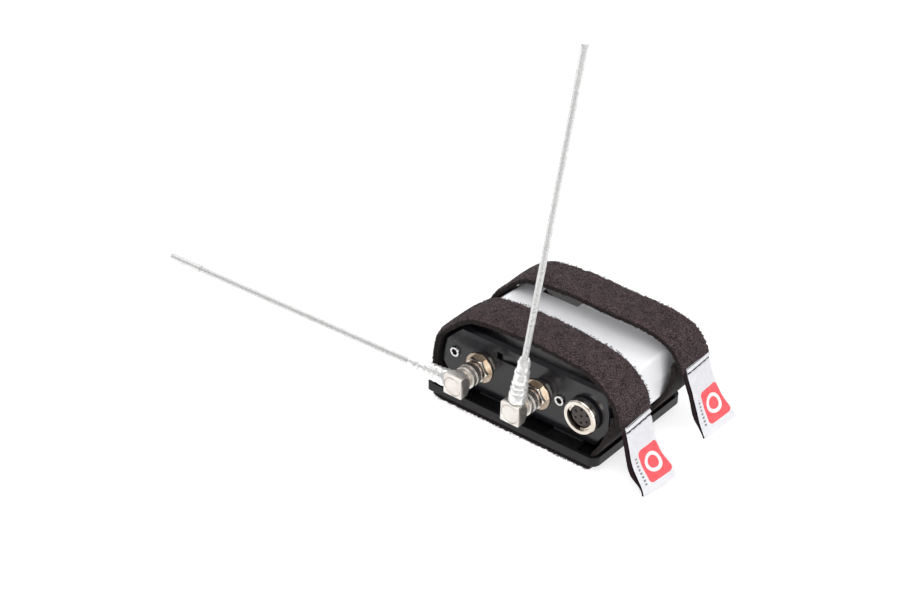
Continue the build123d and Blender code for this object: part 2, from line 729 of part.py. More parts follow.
def assembly():
    parts = {
        "cradle_tray": tray(),
        "thread_insert": thread_insert(),
        "seat_pads": seat_pads(),
        "housing_sleeve": housing_sleeve(),
        "front_end_cap": front_end_cap(),
        "rear_end_cap": rear_end_cap(),
        "front_screws": screws(PANEL_Y, -1),
        "rear_screws": screws(REAR_FACE, 1),
        "tie_pillars": tie_pillars(),
        "main_board": main_board(),
        "left_rf_shield": shield_can(-20.5, -6.0, -8.0, 10.0, 4.2),
        "right_rf_shield": shield_can(1.5, 13.5, -8.0, 10.0, 4.2),
        "processor_chip": processor_chip(),
        "display_window": display_window(),
        "display_module": display_module(),
        "menu_up_button": menu_button(BUTTON_CENTRES_X[0]),
        "menu_down_button": menu_button(BUTTON_CENTRES_X[1]),
        "button_switches": button_switches(),
        "slide_switch_frame": slide_switch_frame(),
        "slide_switch_knob": slide_switch_knob(),
        "audio_socket_shell": audio_socket_shell(),
        "audio_socket_insert": audio_socket_insert(),
        "audio_socket_contacts": audio_socket_contacts(),
        "audio_socket_gasket": audio_socket_gasket(),
        "audio_socket_nut": audio_socket_nut(),
    }
    for which in ("front", "rear"):
        parts[f"{which}_strap"] = strap(which)
        parts[f"{which}_pull_tab"] = pull_tab(which)
        parts[f"{which}_label"] = label(which)
    parts |= antenna_socket("left", LEFT_SOCKET_X)
    parts |= antenna_socket("right", RIGHT_SOCKET_X)
    parts |= antenna("left", LEFT_SOCKET_X, LEFT_TURN, LEFT_LEAN)
    parts |= antenna("right", RIGHT_SOCKET_X, RIGHT_TURN, RIGHT_LEAN)
    return parts


os.makedirs("parts", exist_ok=True)
for node, shape in assembly().items():
    export_step(shape, f"parts/{node}.step")
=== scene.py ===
import json
import math

import bmesh
import bpy
import numpy as np
from mathutils import Matrix, Quaternion, Vector, noise


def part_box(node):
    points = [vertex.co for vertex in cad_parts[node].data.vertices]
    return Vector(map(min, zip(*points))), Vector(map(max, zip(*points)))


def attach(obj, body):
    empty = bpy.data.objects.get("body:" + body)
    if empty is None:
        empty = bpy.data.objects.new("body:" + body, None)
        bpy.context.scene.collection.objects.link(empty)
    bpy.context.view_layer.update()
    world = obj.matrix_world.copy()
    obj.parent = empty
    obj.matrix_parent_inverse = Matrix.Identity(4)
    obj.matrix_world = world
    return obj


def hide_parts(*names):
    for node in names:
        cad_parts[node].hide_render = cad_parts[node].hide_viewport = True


# Looks for a pocket wireless receiver strapped into a cradle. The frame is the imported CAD
# model. Lengths in this script are millimetres in the row frame unless a name says metres.

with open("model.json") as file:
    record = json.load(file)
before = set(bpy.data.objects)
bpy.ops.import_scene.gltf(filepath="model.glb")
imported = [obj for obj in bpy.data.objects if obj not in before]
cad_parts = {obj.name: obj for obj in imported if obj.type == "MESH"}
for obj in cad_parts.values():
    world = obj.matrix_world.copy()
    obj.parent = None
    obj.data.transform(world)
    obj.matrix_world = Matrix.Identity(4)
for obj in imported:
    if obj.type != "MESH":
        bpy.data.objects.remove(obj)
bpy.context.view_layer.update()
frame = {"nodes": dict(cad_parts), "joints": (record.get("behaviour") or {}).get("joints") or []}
MM = 0.001
RANDOM = np.random.default_rng(11)
NODES = frame["nodes"]
ROOT = "receiver_cradle"


def low(node):
    """Lowest corner of a CAD node, in millimetres."""
    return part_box(node)[0] / MM


def high(node):
    """Highest corner of a CAD node, in millimetres."""
    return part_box(node)[1] / MM


# Meshes.


def new_object(name, mesh, body, materials):
    """Links a mesh as a piece on a body, with its materials in order."""
    for m in materials:
        mesh.materials.append(m)
    obj = bpy.data.objects.new(name, mesh)
    bpy.context.scene.collection.objects.link(obj)
    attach(obj, body)
    return obj


def piece(name, points, faces, body, materials, which=None, crease=None):
    """A piece from points in millimetres. which gives each face's material."""
    mesh = bpy.data.meshes.new(name)
    mesh.from_pydata((np.asarray(points, float) * MM).tolist(), [], faces)
    mesh.shade_smooth()
    if crease is not None:
        mesh.set_sharp_from_angle(angle=math.radians(crease))
    if which is not None:
        mesh.polygons.foreach_set("material_index", which)
    mesh.validate()
    return new_object(name, mesh, body, materials)


SAME_POINT = 0.002  # mm between CAD points that are one
FLAT_ANGLE = 0.4  # degrees between faces that are one flat face
SHARP_ANGLE = 28  # degrees between faces whose edge is rounded
CREASE_ANGLE = 50  # degrees between faces that stay shaded apart
FACE_WEIGHT = 80  # how strongly large faces set the shading of their edges


def refined(node, body, material, width, segments=2):
    """Takes a CAD node's place with the same shape, its sharp edges rounded by a small width."""
    bm = bmesh.new()
    bm.from_mesh(NODES[node].data)
    bmesh.ops.remove_doubles(bm, verts=bm.verts, dist=SAME_POINT * MM)
    flat = math.radians(FLAT_ANGLE)
    bmesh.ops.dissolve_limit(bm, angle_limit=flat, verts=bm.verts, edges=bm.edges)
    limit = math.radians(SHARP_ANGLE)
    edges = [e for e in bm.edges if len(e.link_faces) == 2 and e.calc_face_angle(0) > limit]
    rounding = {"offset": width * MM, "offset_type": "OFFSET", "segments": segments}
    bmesh.ops.bevel(bm, geom=edges, profile=0.5, affect="EDGES", clamp_overlap=True, **rounding)
    mesh = bpy.data.meshes.new(node + "_shape")
    bm.to_mesh(mesh)
    bm.free()
    mesh.shade_smooth()
    mesh.set_sharp_from_angle(angle=math.radians(CREASE_ANGLE))
    obj = new_object(node + "_shape", mesh, body, [material])
    weighted = obj.modifiers.new("normals", "WEIGHTED_NORMAL")
    weighted.keep_sharp = True
    weighted.weight = FACE_WEIGHT
    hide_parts(node)
    return obj


def shade_inside(obj, test, material):
    """Gives the faces whose middle passes a test, in millimetres, a second material."""
    obj.data.materials.append(material)
    for face in obj.data.polygons:
        if test(face.center / MM):
            face.material_index = 1


def grid_faces(rows, columns, closed_rows=False, closed_columns=False):
    """Quads between neighbouring points of a grid stored row by row."""
    faces = []
    for i in range(rows if closed_rows else rows - 1):
        j_count = columns if closed_columns else columns - 1
        a0 = (i % rows) * columns
        b0 = ((i + 1) % rows) * columns
        for j in range(j_count):
            k = (j + 1) % columns
            faces.append((a0 + j, a0 + k, b0 + k, b0 + j))
    return faces


def strip_faces(rows, columns):
    """Faces of a ribbon whose rows of points are its closed sections, with both ends filled."""
    faces = grid_faces(rows, columns, False, True)
    faces.append(tuple(range(columns)))
    faces.append(tuple(range((rows - 1) * columns, rows * columns))[::-1])
    return [f[::-1] for f in faces]


def revolved(profile, turns, wobble=None):
    """A closed ring of profile points (radius, height) turned about Z. wobble(angle, height,
    radius) gives a radius to add."""
    points = []
    for i in range(turns):
        angle = 2 * math.pi * i / turns
        for r, h in profile:
            extra = wobble(angle, h, r) if wobble else 0.0
            points.append(((r + extra) * math.cos(angle), (r + extra) * math.sin(angle), h))
    return np.array(points), grid_faces(turns, len(profile), True, True)


ASKEW = [0.31, 0.87, 0.38]  # a direction that no tube here follows


def tubes(lines, radius, sides):
    """Points and faces of tubes that follow lines of points, with closed ends."""
    angles = 2 * np.pi * np.arange(sides) / sides
    points, faces = [], []
    start = 0
    for line in lines:
        ahead = np.gradient(line, axis=0)
        ahead /= np.linalg.norm(ahead, axis=1)[:, None]
        up = np.cross(ahead, ASKEW)
        up /= np.linalg.norm(up, axis=1)[:, None]
        side = np.cross(ahead, up)
        rings = (
            line[:, None, :]
            + radius * np.cos(angles)[None, :, None] * up[:, None, :]
            + radius * np.sin(angles)[None, :, None] * side[:, None, :]
        )
        points.append(rings.reshape(-1, 3))
        last = start + (len(line) - 1) * sides
        faces += [tuple(start + i for i in f) for f in grid_faces(len(line), sides, False, True)]
        faces.append(tuple(start + i for i in range(sides))[::-1])
        faces.append(tuple(last + i for i in range(sides)))
        start += len(line) * sides
    return np.concatenate(points), faces


def moved(points, matrix):
    """Points in millimetres moved by a matrix that is also in millimetres."""
    m = np.array(matrix)
    return points @ m[:3, :3].T + m[:3, 3]


def value_noise(x, y, seed):
    """Smooth noise from -1 to 1 on a unit lattice."""
    x0 = np.floor(x).astype(np.int64)
    y0 = np.floor(y).astype(np.int64)
    fx = x - x0
    fy = y - y0
    fx = fx * fx * (3 - 2 * fx)
    fy = fy * fy * (3 - 2 * fy)

    def corner(dx, dy):
        n = ((x0 + dx) * 374761393 + (y0 + dy) * 668265263 + seed * 974634777) & 0xFFFFFFFF
        n = ((n ^ (n >> 13)) * 1274126177) & 0xFFFFFFFF
        return ((n ^ (n >> 16)) & 0xFFFF) / 32767.5 - 1.0

    top = corner(0, 0) * (1 - fx) + corner(1, 0) * fx
    bottom = corner(0, 1) * (1 - fx) + corner(1, 1) * fx
    return top * (1 - fy) + bottom * fy


def smooth_step(edge0, edge1, x):
    t = np.clip((x - edge0) / (edge1 - edge0), 0, 1)
    return t * t * (3 - 2 * t)


# Materials.


class Surface:
    """A Principled material whose patterns follow the piece's own coordinates."""

    def __init__(self, name, color, **values):
        self.material = bpy.data.materials.new(name)
        self.material.use_nodes = True
        self.tree = self.material.node_tree
        self.shader = self.tree.nodes["Principled BSDF"]
        self.set("Base Color", (*color, 1.0))
        for socket, value in values.items():
            self.set(socket.replace("_", " "), value)
        self.place = self.add("ShaderNodeTexCoord").outputs["Object"]

    def set(self, socket, value):
        self.shader.inputs[socket].default_value = value

    def add(self, kind, **settings):
        node = self.tree.nodes.new(kind)
        for key, value in settings.items():
            setattr(node, key, value)
        return node

    def link(self, output, target):
        self.tree.links.new(output, target)

    def mapped(self, size):
        mapping = self.add("ShaderNodeMapping")
        mapping.inputs["Scale"].default_value = [1 / (size * MM)] * 3
        self.link(self.place, mapping.inputs["Vector"])
        return mapping.outputs["Vector"]

    def noise(self, size, detail=2.0, roughness=0.5):
        """Noise with grains about size millimetres across."""
        node = self.add("ShaderNodeTexNoise")
        node.inputs["Scale"].default_value = 1.0
        node.inputs["Detail"].default_value = detail
        node.inputs["Roughness"].default_value = roughness
        self.link(self.mapped(size), node.inputs["Vector"])
        return node.outputs["Fac"]

    def cells(self, size):
        """Distance to the nearest of random points about size millimetres apart."""
        node = self.add("ShaderNodeTexVoronoi")
        node.inputs["Scale"].default_value = 1.0
        self.link(self.mapped(size), node.inputs["Vector"])
        return node.outputs["Distance"]

    def ramp(self, factor, *stops):
        """A colour ramp; a stop is (position, grey level or colour)."""
        node = self.add("ShaderNodeValToRGB")
        elements = node.color_ramp.elements
        while len(elements) < len(stops):
            elements.new(0.5)
        for element, (position, color) in zip(elements, stops):
            element.position = position
            grey = isinstance(color, (int, float))
            element.color = (color, color, color, 1) if grey else (*color, 1)
        self.link(factor, node.inputs["Fac"])
        return node.outputs["Color"]

    def mix(self, factor, a, b):
        """Colour a where factor is 0 and b where it is 1; a and b are outputs or colours."""
        node = self.add("ShaderNodeMix", data_type="RGBA")
        for key, value in (("Factor", factor), ("A", a), ("B", b)):
            socket = [s for s in node.inputs if s.name == key and s.enabled][0]
            if isinstance(value, bpy.types.NodeSocket):
                self.link(value, socket)
            elif key == "Factor":
                socket.default_value = value
            else:
                socket.default_value = (*value, 1)
        return [s for s in node.outputs if s.enabled][0]

    def math(self, operation, a, b=0.0):
        node = self.add("ShaderNodeMath", operation=operation)
        for socket, value in zip(node.inputs, (a, b)):
            if isinstance(value, bpy.types.NodeSocket):
                self.link(value, socket)
            else:
                socket.default_value = value
        return node.outputs[0]

    def color(self, output):
        self.link(output, self.shader.inputs["Base Color"])

    def rough(self, output, lowest, highest):
        """Roughness between two limits, by a pattern."""
        node = self.add("ShaderNodeMapRange")
        node.inputs["From Min"].default_value = 0.3
        node.inputs["From Max"].default_value = 0.7
        node.inputs["To Min"].default_value = lowest
        node.inputs["To Max"].default_value = highest
        self.link(output, node.inputs["Value"])
        self.link(node.outputs["Result"], self.shader.inputs["Roughness"])

    def bump(self, *heights):
        """Bumps from (pattern, depth in millimetres) pairs, one on the other."""
        normal = None
        for pattern, depth in heights:
            node = self.add("ShaderNodeBump")
            node.inputs["Strength"].default_value = 1.0
            node.inputs["Distance"].default_value = depth * MM
            self.link(pattern, node.inputs["Height"])
            if normal is not None:
                self.link(normal, node.inputs["Normal"])
            normal = node.outputs["Normal"]
        self.link(normal, self.shader.inputs["Normal"])


def metal(name, color, roughness, grain, depth, stain_color=None, metallic=1.0):
    """Plated or bare metal: fine grain, faint stains and small wear in its gloss."""
    s = Surface(name, color, Metallic=metallic, Roughness=roughness)
    stain = s.noise(4.0, 3.0)
    darker = stain_color or tuple(c * 0.86 for c in color)
    s.color(s.mix(s.ramp(stain, (0.35, 0.0), (0.7, 1.0)), color, darker))
    s.rough(s.noise(1.3, 4.0, 0.6), roughness * 0.8, roughness * 1.25)
    s.bump((s.noise(grain, 3.0, 0.6), depth))
    return s.material


def plastic(name, color, roughness, grain, depth, mottle=0.25, **values):
    """Moulded plastic: fine texture, slight mottling and uneven gloss."""
    s = Surface(name, color, Roughness=roughness, **values)
    lighter = tuple(min(1.0, c * (1 + mottle) + 0.002) for c in color)
    s.color(s.mix(s.ramp(s.noise(2.6, 4.0), (0.35, 0.0), (0.72, 1.0)), color, lighter))
    s.rough(s.noise(6.0, 3.0), roughness * 0.85, roughness * 1.2)
    s.bump((s.noise(grain, 2.0, 0.6), depth))
    return s.material


def clear(name, color, roughness, transmission, lumps, depth):
    """Clear or milky plastic with ripples in its surface and haze inside."""
    s = Surface(name, color, Roughness=roughness, IOR=1.46, Transmission_Weight=transmission)
    haze = tuple(c * 0.9 for c in color)
    s.color(s.mix(s.ramp(s.noise(1.6, 3.0), (0.3, 0.0), (0.75, 1.0)), color, haze))
    s.rough(s.noise(1.1, 2.0), roughness * 0.7, roughness * 1.4)
    s.bump((s.noise(lumps, 2.0), depth))
    return s.material


def pile_material(name, dark, light, depth):
    """Looped or brushed nylon: dark pits between lighter tufts, with a soft sheen."""
    s = Surface(name, dark, Roughness=0.95, Sheen_Weight=0.07, Sheen_Roughness=0.4)
    s.set("Sheen Tint", (0.85, 0.78, 0.80, 1.0))
    s.set("Specular IOR Level", 0.2)
    tufts = s.noise(0.34, 2.0, 0.6)
    patches = s.noise(2.6, 2.0, 0.5)
    level = s.math("ADD", s.math("MULTIPLY", tufts, 0.88), s.math("MULTIPLY", patches, 0.12))
    s.color(s.mix(s.ramp(level, (0.44, 0.0), (0.57, 1.0)), dark, light))
    s.bump((s.cells(0.6), depth), (tufts, depth))
    return s.material


# The label's pattern. Positions are shares of its width and length; sizes are millimetres.
PATCH_PLACE = (0.615, 0.66)
PATCH_HALF = (4.7, 5.6)
PATCH_CORNER = 1.5
RING_RADIUS = 2.7
RING_HALF = 0.6
BARS_PLACE = (0.15, 0.68)
BARS_HALF = (0.45, 4.6)
BARS_PITCH = 1.25
WEFT_PITCH = 0.34
WARP_PITCH = 0.28


def label_material(name, width, length):
    """Off-white woven ribbon with a plain coloured patch, a white ring and a row of bars."""
    s = Surface(name, (0.72, 0.72, 0.74), Roughness=0.7, Sheen_Weight=0.05, Sheen_Roughness=0.4)

    def off(value, middle):
        return s.math("ABSOLUTE", s.math("SUBTRACT", value, middle))

    def distance(x, y):
        return s.math("SQRT", s.math("ADD", s.math("MULTIPLY", x, x), s.math("MULTIPLY", y, y)))

    def waves(value, pitch):
        return s.math("SINE", s.math("MULTIPLY", value, 2 * math.pi / pitch))

    uv = s.add("ShaderNodeUVMap", uv_map="flat").outputs["UV"]
    split = s.add("ShaderNodeSeparateXYZ")
    s.link(uv, split.inputs["Vector"])
    across = s.math("MULTIPLY", split.outputs["X"], width)
    along = s.math("MULTIPLY", split.outputs["Y"], length)
    dx = off(across, width * PATCH_PLACE[0])
    dy = off(along, length * PATCH_PLACE[1])
    qx = s.math("MAXIMUM", s.math("SUBTRACT", dx, PATCH_HALF[0] - PATCH_CORNER), 0.0)
    qy = s.math("MAXIMUM", s.math("SUBTRACT", dy, PATCH_HALF[1] - PATCH_CORNER), 0.0)
    inside = s.math("LESS_THAN", distance(qx, qy), PATCH_CORNER)
    ring = s.math("LESS_THAN", off(distance(dx, dy), RING_RADIUS), RING_HALF)
    weave = s.math("MULTIPLY", waves(along, WEFT_PITCH), waves(across, WARP_PITCH))
    shade = s.noise(1.4, 3.0)
    patchy = s.ramp(shade, (0.3, 0.0), (0.7, 1.0))
    cloth = s.mix(patchy, (0.55, 0.55, 0.58), (0.61, 0.61, 0.635))
    coral = s.mix(patchy, (0.64, 0.060, 0.072), (0.72, 0.088, 0.10))
    patch = s.mix(ring, coral, (0.68, 0.66, 0.66))
    bars = s.math("LESS_THAN", off(across, width * BARS_PLACE[0]), BARS_HALF[0])
    dashes = s.math("GREATER_THAN", waves(along, BARS_PITCH), -0.1)
    span = s.math("LESS_THAN", off(along, length * BARS_PLACE[1]), BARS_HALF[1])
    row = s.math("MULTIPLY", s.math("MULTIPLY", bars, dashes), span)
    base = s.mix(s.math("MULTIPLY", row, 0.8), cloth, (0.05, 0.05, 0.055))
    s.color(s.mix(inside, base, patch))
    s.bump((weave, 0.03), (shade, 0.12))
    return s.material


WEBBING_OUT = pile_material("loop_pile", (0.0045, 0.0032, 0.0035), (0.074, 0.050, 0.053), 0.10)
WEBBING_IN = pile_material("brushed_back", (0.006, 0.0045, 0.0045), (0.020, 0.014, 0.013), 0.05)
LOOP_YARN = plastic(
    "loop_yarn", (0.014, 0.010, 0.011), 0.8, 0.2, 0.01, mottle=2.2, Specular_IOR_Level=0.25
)
TAB_BLACK = pile_material("tab_nylon", (0.003, 0.0012, 0.0018), (0.013, 0.0035, 0.006), 0.04)
STITCH = plastic("stitch_thread", (0.02, 0.018, 0.02), 0.7, 0.15, 0.01)
TRAY_BLACK = plastic(
    "tray_plastic", (0.005, 0.0048, 0.005), 0.20, 0.8, 0.004, Specular_IOR_Level=0.24
)
PANEL_BLACK = plastic(
    "panel_coat", (0.0045, 0.0045, 0.0062), 0.17, 0.30, 0.003, Specular_IOR_Level=0.42
)
RUBBER = plastic("rubber", (0.016, 0.016, 0.017), 0.7, 0.3, 0.01)
KNOB = plastic("switch_plastic", (0.012, 0.012, 0.013), 0.30, 0.25, 0.004)
INSERT_BROWN = plastic("connector_insulator", (0.020, 0.013, 0.012), 0.45, 0.3, 0.008)
BOARD_GREEN = plastic("board_laminate", (0.02, 0.10, 0.045), 0.4, 0.5, 0.01)
CHIP = plastic("chip_epoxy", (0.02, 0.02, 0.021), 0.5, 0.2, 0.01)
PTFE = plastic("fluoropolymer", (0.82, 0.82, 0.80), 0.45, 0.6, 0.005)
DISPLAY = plastic("display_face", (0.030, 0.016, 0.014), 0.2, 2.0, 0.002)
SILVER = metal(
    "anodised_sleeve", (0.74, 0.74, 0.76), 0.5, 0.16, 0.003, (0.71, 0.71, 0.735), metallic=0.1
)
STEEL = metal("screw_steel", (0.66, 0.65, 0.64), 0.20, 0.4, 0.003)
NICKEL = metal(
    "satin_nickel", (0.72, 0.685, 0.65), 0.32, 0.20, 0.006, (0.62, 0.575, 0.53), metallic=0.95
)
BRIGHT_NICKEL = metal("bright_nickel", (0.74, 0.70, 0.65), 0.16, 0.6, 0.002, (0.64, 0.57, 0.49))
WASHER_STEEL = metal(
    "passivated_washer", (0.46, 0.39, 0.32), 0.24, 0.4, 0.003, (0.34, 0.26, 0.19)
)
# Dark steel painted into the front screws' hexagon sockets as shade in the recess.
SOCKET_PAINTED_SHADE = metal("socket_painted_shade", (0.055, 0.045, 0.042), 0.4, 0.3, 0.004)
# Dark brown steel painted on the socket thread and in the knurl's grooves as shade.
THREAD_PAINTED_SHADE = metal("thread_painted_shade", (0.20, 0.16, 0.135), 0.34, 0.3, 0.004)
GOLD = metal("gold_plate", (0.83, 0.62, 0.28), 0.22, 0.3, 0.003)
BRASS = metal("brass_insert", (0.72, 0.55, 0.27), 0.28, 0.3, 0.005)
ALUMINIUM = metal("plain_aluminium", (0.72, 0.72, 0.73), 0.34, 0.3, 0.005)
TIN = metal("tinned_sheet", (0.70, 0.70, 0.68), 0.30, 0.8, 0.006)
ROPE_STEEL = metal("rope_steel", (0.36, 0.355, 0.345), 0.5, 0.12, 0.004, metallic=0.35)
BOOT_CLEAR = clear("boot_plastic", (0.78, 0.775, 0.77), 0.20, 0.62, 0.9, 0.08)
SLEEVE_CLEAR = clear("sleeve_plastic", (0.46, 0.46, 0.455), 0.30, 0.34, 1.6, 0.006)
TIP_CLEAR = clear("tip_plastic", (0.52, 0.52, 0.515), 0.28, 0.36, 1.0, 0.03)
WINDOW_TINT = clear("smoked_window", (0.16, 0.09, 0.08), 0.06, 0.85, 3.0, 0.005)

# Straps.

# Centre lines of the two straps in the XZ plane.
LOOP_START = {
    "front": [(39.5, 23.2), (39.6, 19.6), (37.6, 14.2)],
    "rear": [(40.8, 29.0), (40.9, 22.4), (38.5, 15.4)],
}
LOOP_SIDES = [
    (31.7, 6.1), (31.3, 4.6), (31.3, 0.75), (-31.6, 0.75), (-31.6, 5.5), (-33.6, 9.2),
    (-34.0, 14.2), (-32.3, 24.0), (-24.3, 31.8), (-18.8, 35.9), (-9.9, 37.5),
]
LOOP_END = {
    "front": [(2.7, 37.85), (17.3, 37.4), (28.4, 36.0), (34.7, 33.4), (38.9, 29.6), (41.4, 25.3),
        (41.9, 19.6)],
    "rear": [(2.7, 37.85), (17.3, 37.6), (28.7, 37.15), (35.9, 35.9), (40.6, 33.2), (43.0, 29.4),
        (44.0, 25.9)],
}
STRAP_WIDTH = 15.0
STRAP_HALF = 0.75
STRAP_STEP = 0.34  # between the strap's rows of points
LOOPED_ABOVE = 0.8  # the outward share of a face's normal above which it carries loops
HOOK_LENGTH = 23.0  # plain hook tape at the start of each strap, under the overlap


class Ribbon:
    """A path in the XZ plane with even steps, its outward normals and its running length."""

    def __init__(self, corners, step):
        line = [np.array(corners[0], float)]
        for i in range(1, len(corners) - 1):
            a, b, c = (np.array(corners[k], float) for k in (i - 1, i, i + 1))
            reach = 0.46 * min(np.linalg.norm(b - a), np.linalg.norm(c - b))
            before = b - (b - a) / np.linalg.norm(b - a) * reach
            after = b + (c - b) / np.linalg.norm(c - b) * reach
            for t in np.linspace(0, 1, 13):
                line.append((1 - t) ** 2 * before + 2 * t * (1 - t) * b + t * t * after)
        line.append(np.array(corners[-1], float))
        line = np.array(line)
        run = np.concatenate([[0], np.cumsum(np.linalg.norm(np.diff(line, axis=0), axis=1))])
        keep = np.concatenate([[True], np.diff(run) > 1e-6])
        line, run = line[keep], run[keep]
        self.length = run[-1]
        self.s = np.linspace(0, run[-1], int(run[-1] / step) + 1)
        self.centre = np.stack([np.interp(self.s, run, line[:, k]) for k in (0, 1)], axis=1)
        ahead = np.gradient(self.centre, axis=0)
        ahead /= np.linalg.norm(ahead, axis=1)[:, None]
        self.out = np.stack([-ahead[:, 1], ahead[:, 0]], axis=1)

    def at(self, s, y, h):
        """Points at running length s, depth y and height h out of the centre line."""
        x = np.interp(s, self.s, self.centre[:, 0]) + h * np.interp(s, self.s, self.out[:, 0])
        z = np.interp(s, self.s, self.centre[:, 1]) + h * np.interp(s, self.s, self.out[:, 1])
        return np.stack([x, np.broadcast_to(y, x.shape), z], axis=-1)


def section(width, half, step):
    """Points round a ribbon's section: v across from 0 to width, h out, and outward normals."""
    count = max(int((width - 2 * half) / step), 3)
    flat = np.linspace(half, width - half, count)
    bend = np.radians([22, 52, 90, 128, 158])
    v = list(flat) + list(width - half + half * np.sin(bend))
    v += list(flat[::-1]) + list(half - half * np.sin(bend))
    h = [half] * count + list(half * np.cos(bend)) + [-half] * count + list(-half * np.cos(bend))
    nv = [0.0] * count + list(np.sin(bend)) + [0.0] * count + list(-np.sin(bend))
    nh = [1.0] * count + list(np.cos(bend)) + [-1.0] * count + list(-np.cos(bend))
    return np.array(v), np.array(h), np.array(nv), np.array(nh)


def jagged(s, seed):
    """The uneven, toothed line of a cut webbing edge: about a tooth a millimetre."""
    pitch = 1.05 + 0.12 * value_noise(s / 9.0, s * 0 + 0.5, seed)
    phase = s / pitch
    tooth = 1 - np.abs((phase % 1.0) * 2 - 1)
    height = 0.75 + 0.45 * value_noise(np.floor(phase) + 0.5, s * 0 + 3.5, seed + 5)
    return tooth * height + 0.35 * value_noise(s / 0.42, s * 0 + 7.5, seed + 9)


def strap_shape(which, ribbon, s, v):
    """Lazy bends of the cloth: how far a point moves across (y) and out (h), in millimetres."""
    x = np.interp(s, ribbon.s, ribbon.centre[:, 0])
    z = np.interp(s, ribbon.s, ribbon.centre[:, 1])
    free = smooth_step(7.5, 14.0, z)
    under = 1 - smooth_step(1.5, 4.0, z)
    seed = 21 if which == "front" else 43
    across = 0.35 * free * value_noise(s / 14.0, s * 0 + 0.5, seed)
    out = 0.16 * free * value_noise(s / 11.0, v / 7.0, seed + 1)
    top = smooth_step(26.0, 34.0, z)
    crown = 1 - ((v - STRAP_WIDTH / 2) / (STRAP_WIDTH / 2)) ** 2
    out += 0.35 * top * crown
    if which == "front":
        lip = np.clip((3.0 - v) / 3.0, 0, 1) ** 1.5
        left = smooth_step(8.0, -22.0, x) * free
        right = smooth_step(26.0, 36.0, x) * smooth_step(9.0, 16.0, z)
        out -= lip * (0.7 * free + 0.7 * left)
        out -= right * 1.1 * np.clip((4.5 - v) / 4.5, 0, 1) ** 2
        across -= 1.1 * under * smooth_step(3.0, 0.0, v)
    else:
        lip = np.clip((2.5 - v) / 2.5, 0, 1) ** 1.5
        out -= 0.5 * lip * free
    return across, out


def strap(which, y0):
    """One strap: a closed strip of looped webbing, its pile swelling out of its outer face."""
    corners = LOOP_START[which] + LOOP_SIDES + LOOP_END[which]
    ribbon = Ribbon(corners, STRAP_STEP)
    v, h, nv, nh = section(STRAP_WIDTH, STRAP_HALF, 0.36)
    seed = 100 if which == "front" else 200
    s_grid, v_grid = np.meshgrid(ribbon.s, v, indexing="ij")
    across, out = strap_shape(which, ribbon, s_grid, v_grid)
    z = np.interp(s_grid, ribbon.s, ribbon.centre[:, 1])
    tight = 0.25 + 0.75 * smooth_step(6.0, 10.0, z)
    outer = smooth_step(-0.3, 0.6, nh)[None, :]
    pile = 0.15 * value_noise(s_grid / 0.62, v_grid / 0.62, seed)
    pile = pile + 0.09 * value_noise(s_grid / 1.9, v_grid / 1.9, seed + 1)
    pile = pile * (0.25 + 0.75 * (s_grid > HOOK_LENGTH))
    back = 0.04 * value_noise(s_grid / 0.7, v_grid / 0.7, seed + 2)
    swell = (outer * pile + (1 - outer) * back) * tight
    near_edge = 1 - smooth_step(0.0, 1.1, np.minimum(v_grid, STRAP_WIDTH - v_grid))
    side = np.sign(v_grid - STRAP_WIDTH / 2)
    teeth = np.where(side < 0, jagged(s_grid, seed + 3), jagged(s_grid, seed + 4))
    across = across + side * near_edge * (0.62 * teeth - 0.2)
    y = y0 + v_grid + across + nv[None, :] * swell
    height = h[None, :] + out + nh[None, :] * swell
    ends = np.minimum(s_grid, ribbon.length - s_grid)
    height = height * (0.5 + 0.5 * smooth_step(0.0, 0.6, ends))
    cx = ribbon.centre[:, 0][:, None] + ribbon.out[:, 0][:, None] * height
    cz = ribbon.centre[:, 1][:, None] + ribbon.out[:, 1][:, None] * height
    points = np.stack([cx, y, cz], axis=-1).reshape(-1, 3)
    looped = np.where(nh > LOOPED_ABOVE, 0, 1)[None, :]
    along = ribbon.s[:-1, None]
    which_material = np.where(along < HOOK_LENGTH, 1, looped).reshape(-1).tolist() + [0, 0]
    faces = strip_faces(*s_grid.shape)
    cloth = [WEBBING_OUT, WEBBING_IN]
    name = f"{which}_strap_webbing"
    obj = piece(name, points, faces, ROOT, cloth, which_material)
    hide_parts(f"{which}_strap")
    return obj, ribbon


YARN_RADIUS = 0.055
FACE_LOOPS = 4200
EDGE_LOOPS = 1500


